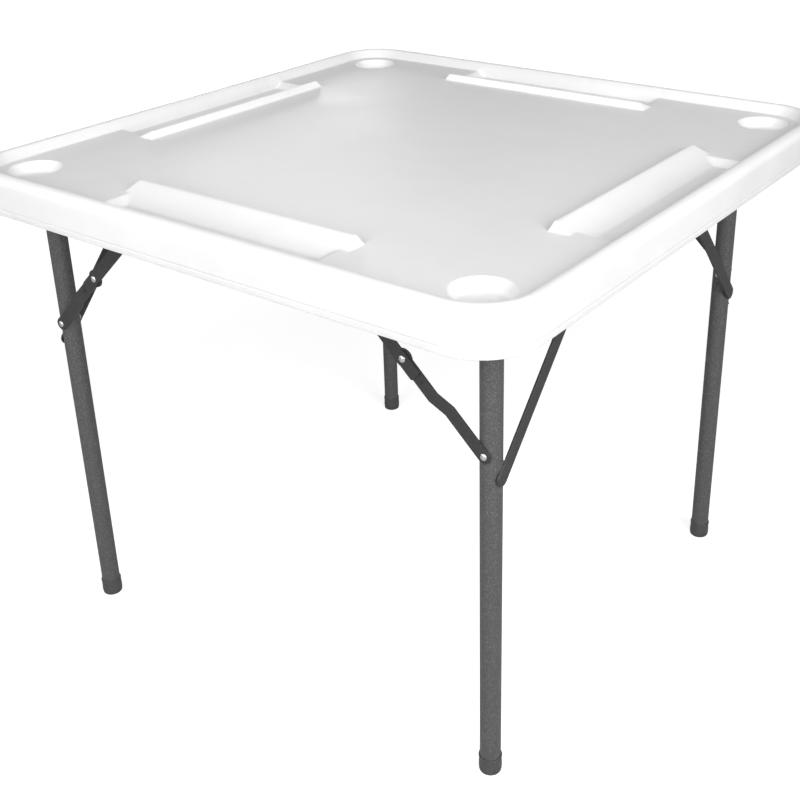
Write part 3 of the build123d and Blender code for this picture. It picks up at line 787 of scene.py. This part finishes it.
def softenedCopy(node, name, body):
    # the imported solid's own form, with its pressed edges rounded
    strip, bm = stripShape, bmesh.new()
    bm.from_mesh(nodes[node].data)
    bmesh.ops.remove_doubles(bm, verts=bm.verts, dist=strip["merge"] * mm)
    bmesh.ops.dissolve_limit(bm, angle_limit=radians(strip["flat"]), verts=bm.verts, edges=bm.edges)
    limit = radians(strip["sharp"])
    sharp = [e for e in bm.edges if len(e.link_faces) == 2 and e.calc_face_angle(0) > limit]
    bmesh.ops.bevel(
        bm, geom=sharp, offset=strip["edge"] * mm, offset_type="OFFSET", segments=strip["segments"],
        profile=0.5, affect="EDGES", clamp_overlap=True,
    )
    bmesh.ops.dissolve_degenerate(bm, dist=strip["sliver"] * mm, edges=bm.edges)
    bmesh.ops.recalc_face_normals(bm, faces=bm.faces)
    mesh = meshFrom(bm, name)
    mesh.set_sharp_from_angle(angle=radians(strip["crisp"]))
    carrier = bpy.data.objects.new("carrier", mesh)
    bpy.context.scene.collection.objects.link(carrier)
    weighted = carrier.modifiers.new("weighted", "WEIGHTED_NORMAL")
    weighted.keep_sharp = True
    graph = bpy.context.evaluated_depsgraph_get()
    result = bpy.data.meshes.new_from_object(carrier.evaluated_get(graph), depsgraph=graph)
    bpy.data.objects.remove(carrier)
    placePiece(name, result, stripShadedPaint, body, [node])


for corner, (frameName, _) in corners.items():
    softenedCopy(f"brace_link_{corner}", f"brace_link_strip_{corner}", f"link_{corner}")
    softenedCopy(f"brace_arm_{corner}", f"brace_arm_strip_{corner}", f"arm_{corner}")
    softenedCopy(f"strut_{corner}", f"strut_strip_{corner}", f"{frameName}_frame")
    softenedCopy(f"pivot_bracket_{corner}", f"pivot_saddle_{corner}", "tabletop_body")
    softenedCopy(f"brace_hanger_{corner}", f"hanger_angle_{corner}", "tabletop_body")
print("strips and brackets made")


# rivet and screw heads, and where the folding braces carry them, in millimetres
rivetShape = {
    "head": 9.5, "height": 2.2, "tail": 8.5, "tailHeight": 1.3, "steps": 24,
    # radius and height of the dome over a thin flange, for a head one unit across and one high
    "domeShares": (
        (0.34, 0.0), (0.49, 0.0), (0.5, 0.06), (0.495, 0.16), (0.47, 0.28),
        (0.43, 0.46), (0.36, 0.68), (0.26, 0.85), (0.14, 0.96), (0.03, 1.0),
    ),
}
screwShape = {
    "head": 7.6, "height": 2.0, "slot": 4.6, "slotWidth": 1.1, "slotDepth": 1.1, "slotTaper": 0.72,
    "crisp": 35.0, "steps": 24, "spin": 2.0,        # the greatest random turn, in radians
    # the pan head's wall, in the same shares
    "panShares": (
        (0.3, 0.0), (0.49, 0.0), (0.5, 0.1), (0.5, 0.42),
        (0.485, 0.62), (0.44, 0.82), (0.385, 0.95), (0.33, 1.0),
    ),
}
braceShape = {
    "inner": {"side": 1, "x": 355.0, "z": 686.5, "legY": 325.0},
    "outer": {"side": -1, "x": -360.0, "z": 684.0, "legY": 371.0},
    "rivetDrop": 194.0, "reach": 206.0, "step": 0.5,
    # the strips' layers outward from the middle of the leg
    "armLow": 14.3, "armHigh": 22.5, "linkLow": 25.2, "gauge": 2.4, "earLow": 22.6, "gap": 0.3,
    "bracketInset": 80.0, "bracketScrew": 26.6, "hangerScrew": 13.0, "hangerScrewY": 15.25, "sheet": 2.3,
}


def domeHead():
    bm = bmesh.new()
    rings = turnedRings(bm, rivetShape["domeShares"], rivetShape["steps"])
    bm.faces.new(rings[-1])
    bm.faces.new(list(reversed(rings[0])))
    bmesh.ops.recalc_face_normals(bm, faces=bm.faces)
    return bpy.data.objects.new("domeHead", meshFrom(bm, "domeHead"))


def panHead():
    # a pan head with a cross recess that narrows towards its floor
    shape, bm = screwShape, bmesh.new()
    reach, narrow = (shape[key] / shape["head"] / 2 for key in ("slot", "slotWidth"))
    deep, taper = 1 - shape["slotDepth"] / shape["height"], shape["slotTaper"]
    rings = turnedRings(bm, shape["panShares"], shape["steps"], shift=0.5)
    bm.faces.new(list(reversed(rings[0])))
    cross = []
    for quarter in range(4):
        turn = Matrix.Rotation(pi / 2 * quarter, 2)
        cross += [turn @ Vector(spot) for spot in ((reach, -narrow), (reach, narrow), (narrow, narrow))]
    mouth = [bm.verts.new((p[0], p[1], 1.0)) for p in cross]
    floor = [bm.verts.new((p[0] * taper, p[1] * taper, deep)) for p in cross]
    ringMesh(bm, [mouth, floor])
    bm.faces.new(floor)
    fillBetween(bm, rings[-1], mouth, (0, 0))
    bmesh.ops.recalc_face_normals(bm, faces=bm.faces)
    mesh = meshFrom(bm, "panHead")
    mesh.set_sharp_from_angle(angle=radians(shape["crisp"]))
    return bpy.data.objects.new("panHead", mesh)


def headTree():
    # puts one head on each point, facing the point's own way and spun a little at random
    tree = newNodeTree("fastenerHeads")
    socketInput(tree, "Head", "NodeSocketObject")
    socketInput(tree, "Turn", "NodeSocketFloat", 0.0)
    given = tree.nodes.new("NodeGroupInput")
    facing, size = (tree.nodes.new("GeometryNodeInputNamedAttribute") for _ in range(2))
    for node, name in ((facing, "facing"), (size, "size")):
        node.data_type = "FLOAT_VECTOR"
        node.inputs["Name"].default_value = name
    aim = tree.nodes.new("FunctionNodeAlignRotationToVector")
    aim.axis = "Z"
    tree.links.new(facing.outputs["Attribute"], aim.inputs["Vector"])
    head = tree.nodes.new("GeometryNodeObjectInfo")
    tree.links.new(given.outputs["Head"], head.inputs["Object"])
    wobble = tree.nodes.new("FunctionNodeRandomValue")
    wobble.data_type = "FLOAT"
    wobble.inputs["Seed"].default_value = 7
    tree.links.new(given.outputs["Turn"], wobble.inputs[3])
    spin = tree.nodes.new("ShaderNodeCombineXYZ")
    tree.links.new(wobble.outputs[1], spin.inputs["Z"])
    spread = tree.nodes.new("GeometryNodeInstanceOnPoints")
    tree.links.new(given.outputs["Geometry"], spread.inputs["Points"])
    tree.links.new(head.outputs["Geometry"], spread.inputs["Instance"])
    tree.links.new(aim.outputs["Rotation"], spread.inputs["Rotation"])
    tree.links.new(size.outputs["Attribute"], spread.inputs["Scale"])
    turned = tree.nodes.new("GeometryNodeRotateInstances")
    tree.links.new(spread.outputs["Instances"], turned.inputs["Instances"])
    tree.links.new(spin.outputs["Vector"], turned.inputs["Rotation"])
    endTree(tree, turned.outputs["Instances"], brightZinc)
    return tree


fastenerTree, roundHead, crossHead = headTree(), domeHead(), panHead()


def headsMesh(head, places, turn=0.0):
    # places: (point, direction, across, high) in millimetres
    start = bpy.data.meshes.new("places")
    start.from_pydata([Vector(point) * mm for point, _, _, _ in places], [], [])
    facing = start.attributes.new("facing", "FLOAT_VECTOR", "POINT")
    size = start.attributes.new("size", "FLOAT_VECTOR", "POINT")
    for index, (_, way, across, high) in enumerate(places):
        facing.data[index].vector = way
        size.data[index].vector = (across * mm, across * mm, high * mm)
    return runTree(fastenerTree, start, {"Head": head, "Turn": turn})


def braceLine(frameName):
    # the leg rivet, the hanger rivet and the knee of a folding brace, as (x, z)
    part, drop = braceShape[frameName], braceShape["rivetDrop"]
    side = part["side"]
    leg = (part["x"], part["z"] - drop)
    hanger = (part["x"] - side * braceShape["reach"], part["z"] - braceShape["step"])
    folded = (part["x"] - side * drop, part["z"])
    openSpan = hypot(leg[0] - hanger[0], leg[1] - hanger[1])
    link = (openSpan - hypot(folded[0] - hanger[0], folded[1] - hanger[1])) / 2
    share = link / openSpan
    knee = (hanger[0] + (leg[0] - hanger[0]) * share, hanger[1] + (leg[1] - hanger[1]) * share)
    return leg, hanger, knee


def placeHeads(name, mesh, body, replaced):
    placePiece(name, mesh, brightZinc, body, [replaced])


def buildRivets():
    rivet, brace = rivetShape, braceShape
    head, tail = (rivet["head"], rivet["height"]), (rivet["tail"], rivet["tailHeight"])
    linkTop, armTop = brace["linkLow"] + brace["gauge"], brace["armLow"] + brace["gauge"]
    hangerHeads = []
    for corner, (frameName, hand) in corners.items():
        leg, hanger, knee = braceLine(frameName)
        legY, outward, inward = brace[frameName]["legY"], (0, hand, 0), (0, -hand, 0)

        def at(spot, layer):
            return (spot[0], hand * (legY + layer), spot[1])

        kneeTail = at(knee, brace["armHigh"] - brace["gap"])
        mesh = headsMesh(roundHead, [(at(knee, linkTop), outward, *head), (kneeTail, inward, *tail)])
        placeHeads(f"knee_rivet_heads_{corner}", mesh, f"link_{corner}", f"knee_rivet_{corner}")
        mesh = headsMesh(roundHead, [(at(leg, armTop), outward, *head)])
        placeHeads(f"arm_rivet_head_{corner}", mesh, f"arm_{corner}", f"arm_rivet_{corner}")
        hangerHeads.append((at(hanger, linkTop), outward, *head))
        hangerHeads.append((at(hanger, brace["earLow"]), inward, *tail))
    placeHeads("hanger_rivet_heads", headsMesh(roundHead, hangerHeads), "tabletop_body", "hanger_rivets")


def buildScrews():
    # two in the foot of each pivot bracket and two in each hanger
    brace, screwHeads = braceShape, []
    level, down = topShape["under"] - brace["sheet"], (0, 0, -1)
    for frameName, hand in corners.values():
        part = brace[frameName]
        hangerX = braceLine(frameName)[1][0]
        bracketY, hangerY = part["legY"] - brace["bracketInset"], part["legY"] + brace["hangerScrewY"]
        spots = [(part["x"] + way * brace["bracketScrew"], bracketY) for way in (-1, 1)]
        spots += [(hangerX + way * brace["hangerScrew"], hangerY) for way in (-1, 1)]
        head, high = screwShape["head"], screwShape["height"]
        screwHeads += [((x, hand * y, level), down, head, high) for x, y in spots]
    mesh = headsMesh(crossHead, screwHeads, screwShape["spin"])
    placeHeads("mounting_screw_heads", mesh, "tabletop_body", "mounting_screws")


buildRivets()
buildScrews()
bpy.data.objects.remove(roundHead)
bpy.data.objects.remove(crossHead)
print("rivets and screws made")


# slip-on foot caps, in millimetres
capShape = {
    "radius": 15.6, "height": 26.0, "tube": 14.0, "tubeGap": 0.12, "floor": 3.9, "middle": 0.8, "steps": 56,
    # the recess under the foot, the ring that it stands on and the wall's slight bulge
    "recessRadius": 8.5, "recessDepth": 1.2, "standRadius": 9.3, "footBack": 0.9, "bulgeHeight": 8.0,
    "bulgeBack": 0.1,
    # the wall under the lip, and how far below the mouth it ends and the lip starts and is full
    "wallBack": 0.6, "wallEnd": 3.0, "lipStart": 2.8, "lipFull": 2.2,
    "recessSoft": 0.4, "footSoft": 2.4, "bulgeSoft": 6.0, "wallSoft": 0.6, "lipStartSoft": 0.2,
    "lipSoft": 0.35, "mouthSoft": 0.7, "boreSoft": 0.25, "floorSoft": 0.5, "arcSteps": 4,
}


def capLine():
    # from the middle of the recess out and up to the lip, and down the bore to its floor
    cap = capShape
    radius, high, bore, wall = cap["radius"], cap["height"], cap["tube"] + cap["tubeGap"], cap["wallBack"]
    return roundedLine([
        (cap["middle"], cap["recessDepth"], 0),
        (cap["recessRadius"], cap["recessDepth"], cap["recessSoft"]),
        (cap["standRadius"], 0.0, cap["recessSoft"]),
        (radius - cap["footBack"], 0.0, cap["footSoft"]),
        (radius - cap["bulgeBack"], cap["bulgeHeight"], cap["bulgeSoft"]),
        (radius - wall, high - cap["wallEnd"], cap["wallSoft"]),
        (radius - wall, high - cap["lipStart"], cap["lipStartSoft"]),
        (radius, high - cap["lipFull"], cap["lipSoft"]),
        (radius, high, cap["mouthSoft"]),
        (bore, high, cap["boreSoft"]),
        (bore, cap["floor"], cap["floorSoft"]),
        (cap["middle"], cap["floor"], 0),
    ], cap["arcSteps"])


def buildCaps():
    for corner, (frameName, _) in corners.items():
        low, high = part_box(f"foot_cap_{corner}")
        middle = (low + high) / 2
        bm = bmesh.new()
        rings = turnedRings(bm, capLine(), capShape["steps"], centre=middle, level=low.z, unit=mm)
        bm.faces.new(list(reversed(rings[0])))
        bm.faces.new(rings[-1])
        bmesh.ops.recalc_face_normals(bm, faces=bm.faces)
        name, mesh = f"foot_cap_moulding_{corner}", meshFrom(bm, "footCap")
        placePiece(name, mesh, capPlastic, f"{frameName}_frame", [f"foot_cap_{corner}"])


buildCaps()
print("foot caps made")


# weld beads at the leg tops and the struts, in millimetres
weldShape = {
    "bead": 1.5, "spacing": 1.9, "unevenShares": (0.82, 1.15), "tube": 14.0, "loopSteps": 36, "loopDrop": 0.6,
    "strutDrop": 226.0, "strutRun": 199.0, "strutWidth": 20.0, "strutSink": 0.7, "edgeGap": 0.3,
    "reach": 7.0, "reachSteps": 3, "sagShare": 0.6,
}


def weldTree():
    # small lumps along each line of the carrier, unequal as hand welding leaves them
    tree = newNodeTree("weldBeads")
    socketInput(tree, "Bead", "NodeSocketFloat", weldShape["bead"] * mm)
    socketInput(tree, "Spacing", "NodeSocketFloat", weldShape["spacing"] * mm)
    given = tree.nodes.new("NodeGroupInput")
    path = tree.nodes.new("GeometryNodeMeshToCurve")
    tree.links.new(given.outputs["Geometry"], path.inputs["Mesh"])
    spaced = tree.nodes.new("GeometryNodeResampleCurve")
    spaced.mode = "LENGTH"
    tree.links.new(path.outputs["Curve"], spaced.inputs["Curve"])
    tree.links.new(given.outputs["Spacing"], spaced.inputs["Length"])
    lump = tree.nodes.new("GeometryNodeMeshIcoSphere")
    lump.inputs["Subdivisions"].default_value = 2
    tree.links.new(given.outputs["Bead"], lump.inputs["Radius"])
    spread = tree.nodes.new("GeometryNodeInstanceOnPoints")
    tree.links.new(spaced.outputs["Curve"], spread.inputs["Points"])
    tree.links.new(lump.outputs["Mesh"], spread.inputs["Instance"])
    uneven = tree.nodes.new("FunctionNodeRandomValue")
    uneven.data_type = "FLOAT_VECTOR"
    uneven.inputs["Seed"].default_value = 11
    for socket, share in zip(uneven.inputs, weldShape["unevenShares"]):
        socket.default_value = (share, share, share)
    tree.links.new(uneven.outputs[0], spread.inputs["Scale"])
    endTree(tree, spread.outputs["Instances"], charcoalPaint)
    return tree


def legWeld(part, hand):
    # round the coped top of the leg
    weld, steps = weldShape, weldShape["loopSteps"]
    line = []
    for turn in (2 * pi * count / steps for count in range(steps)):
        x, y = part["x"] + weld["tube"] * cos(turn), hand * part["legY"] + weld["tube"] * sin(turn)
        line.append((x, y, part["z"] - weld["tube"] * abs(sin(turn)) - weld["loopDrop"]))
    return line


def strutWelds(part, hand):
    # both edges of the strut where they cross the leg and the crossbar
    weld, legY = weldShape, hand * part["legY"]
    run, drop = weld["strutRun"], weld["strutDrop"]
    length = hypot(run, drop)
    along = Vector((0, -hand * run / length, drop / length))
    across = Vector((0, hand * drop / length, run / length))
    foot = Vector((part["x"] + part["side"] * (weld["tube"] - weld["strutSink"]), legY, part["z"] - drop))
    head = foot + Vector((0, -hand * run, drop))
    lines = []
    for middle in (foot, head):
        for edge in (-1, 1):
            centre = middle + across * edge * (weld["strutWidth"] / 2 + weld["edgeGap"])
            # the strip's edge meets the tube's crown where it crosses the tube's own line
            if middle is foot:
                slide = (legY - centre.y) / along.y
            else:
                slide = (part["z"] - centre.z) / along.z
            centre = centre + along * slide
            line, steps = [], weld["reachSteps"]
            for step in range(-steps, steps + 1):
                spot = centre + along * (weld["reach"] * step / steps)
                off = spot.y - legY if middle is foot else spot.z - part["z"]
                sag = weld["tube"] - max(weld["tube"] ** 2 - off * off, 0.0) ** 0.5
                line.append(spot - Vector((part["side"] * sag * weld["sagShare"], 0, 0)))
            lines.append(line)
    return lines


def buildWelds():
    weld, tree = weldShape, weldTree()
    for frameName in ("inner", "outer"):
        part = braceShape[frameName]
        points, edges = [], []
        for hand in (-1, 1):
            lines = [legWeld(part, hand), *strutWelds(part, hand)]
            for line in lines:
                first = len(points)
                points += [Vector(point) * mm for point in line]
                edges += [(first + i, first + i + 1) for i in range(len(line) - 1)]
                if line is lines[0]:
                    edges.append((len(points) - 1, first))        # the leg's weld runs all round
        start = bpy.data.meshes.new("weldLines")
        start.from_pydata(points, edges, [])
        mesh = runTree(tree, start, {"Bead": weld["bead"] * mm, "Spacing": weld["spacing"] * mm})
        mesh.polygons.foreach_set("use_smooth", [True] * len(mesh.polygons))
        name, body = f"weld_beads_{frameName}", f"{frameName}_frame"
        placePiece(name, mesh, charcoalPaint, body)


buildWelds()
print("welds made")
